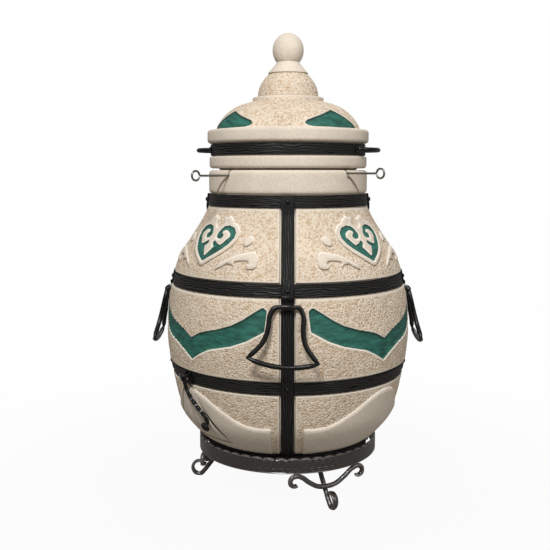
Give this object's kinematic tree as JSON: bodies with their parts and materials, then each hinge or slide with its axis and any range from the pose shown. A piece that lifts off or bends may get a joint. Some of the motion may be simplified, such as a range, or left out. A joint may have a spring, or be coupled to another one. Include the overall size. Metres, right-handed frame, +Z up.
{
  "type": "tandoor oven",
  "caption": "Pot-bellied ceramic tandoor bound in steel hoops and straps, with hollow lid, finial cap, air door, swing handles and a forged three-legged stand",
  "frame": {"origin": "on the vessel's axis at floor level, under the stand", "axes": "+Z up, -Y the front with one strap and carrying handle facing it, +X to the viewer's right"},
  "size_m": [0.6914, 0.6914, 1.1521],
  "materials": {
    "rough_clay": "hand-finished chamotte stucco, unglazed",
    "smooth_clay": "smoothed clay slip, unglazed",
    "black_steel": "satin black enamel over wood-grain embossed strip",
    "forged_steel": "hammered, brown-grey patina with burnished edges",
    "fire_iron": "as cast",
    "bright_steel": "drawn wire, dulled"
  },
  "bodies": {
    "stand": {"stand_ring": "forged_steel", "stand_spider": "forged_steel", "stand_leg_1": "forged_steel", "stand_bow_1": "forged_steel", "stand_leg_2": "forged_steel", "stand_bow_2": "forged_steel", "stand_leg_3": "forged_steel", "stand_bow_3": "forged_steel"},
    "vessel": {"vessel": "rough_clay", "base_band": "black_steel", "lower_band": "black_steel", "upper_band": "black_steel", "neck_band": "black_steel", "latch_bracket": "black_steel", "strap_front": "black_steel", "handle_bracket_front": "black_steel", "bolt_lower_front": "black_steel", "bolt_upper_front": "black_steel", "bolt_neck_front": "black_steel", "strap_right": "black_steel", "handle_bracket_right": "black_steel", "bolt_lower_right": "black_steel", "bolt_upper_right": "black_steel", "bolt_neck_right": "black_steel", "strap_back": "black_steel", "handle_bracket_back": "black_steel", "bolt_lower_back": "black_steel", "bolt_upper_back": "black_steel", "bolt_neck_back": "black_steel", "strap_left": "black_steel", "handle_bracket_left": "black_steel", "bolt_lower_left": "black_steel", "bolt_upper_left": "black_steel", "bolt_neck_left": "black_steel"},
    "lid": {"lid": "rough_clay", "lid_band": "black_steel", "lid_handle_right": "black_steel", "lid_handle_left": "black_steel"},
    "cap": {"finial_cap": "rough_clay"},
    "handle_front": {"carry_handle_front": "black_steel"},
    "handle_right": {"carry_handle_right": "black_steel"},
    "handle_back": {"carry_handle_back": "black_steel"},
    "handle_left": {"carry_handle_left": "black_steel"},
    "latch": {"latch_bar": "black_steel"},
    "pin": {"latch_pin": "black_steel"},
    "door": {"door_plug": "smooth_clay"},
    "rod_low": {"hanging_rod_low": "bright_steel"},
    "rod_high": {"hanging_rod_high": "bright_steel"},
    "grate": {"fire_grate": "fire_iron"}
  },
  "joints": [
    {"name": "vessel_lift", "type": "slide", "parent": "stand", "child": "vessel", "axis": [0, 0, 1], "range_m": [0, 0.25]},
    {"name": "lid_lift", "type": "slide", "parent": "vessel", "child": "lid", "axis": [0, 0, 1], "range_m": [0, 0.4]},
    {"name": "cap_lift", "type": "slide", "parent": "lid", "child": "cap", "axis": [0, 0, 1], "range_m": [0, 0.15]},
    {"name": "handle_swing_front", "type": "hinge", "parent": "vessel", "child": "handle_front", "pos_m": [0, -0.30875, 0.508], "axis": [-1, 0, 0], "range_deg": [0, 110]},
    {"name": "handle_swing_right", "type": "hinge", "parent": "vessel", "child": "handle_right", "pos_m": [0.30875, 0, 0.508], "axis": [0, -1, 0], "range_deg": [0, 110]},
    {"name": "handle_swing_back", "type": "hinge", "parent": "vessel", "child": "handle_back", "pos_m": [0, 0.30875, 0.508], "axis": [1, 0, 0], "range_deg": [0, 110]},
    {"name": "handle_swing_left", "type": "hinge", "parent": "vessel", "child": "handle_left", "pos_m": [-0.30875, 0, 0.508], "axis": [0, 1, 0], "range_deg": [0, 110]},
    {"name": "door_slide", "type": "slide", "parent": "vessel", "child": "door", "axis": [-0.809, -0.5878, 0], "range_m": [0, 0.06]},
    {"name": "latch_swing", "type": "hinge", "parent": "vessel", "child": "latch", "pos_m": [-0.25408, -0.1846, 0.318], "axis": [-0.5878, 0.809, 0], "range_deg": [0, 112]},
    {"name": "latch_pin_slide", "type": "slide", "parent": "vessel", "child": "pin", "axis": [-0.5878, 0.809, 0], "range_m": [0, 0.022]},
    {"name": "rod_low_pull", "type": "slide", "parent": "vessel", "child": "rod_low", "axis": [-0.7071, -0.7071, 0], "range_m": [0, 0.42]},
    {"name": "rod_high_pull", "type": "slide", "parent": "vessel", "child": "rod_high", "axis": [0.7071, -0.7071, 0], "range_m": [0, 0.42]},
    {"name": "grate_lift", "type": "slide", "parent": "vessel", "child": "grate", "axis": [0, 0, 1], "range_m": [0, 0.54]}
  ],
  "couplings": [
    {"joint": "latch_swing", "follows": "door_slide", "rad_per_m": 32}
  ]
}
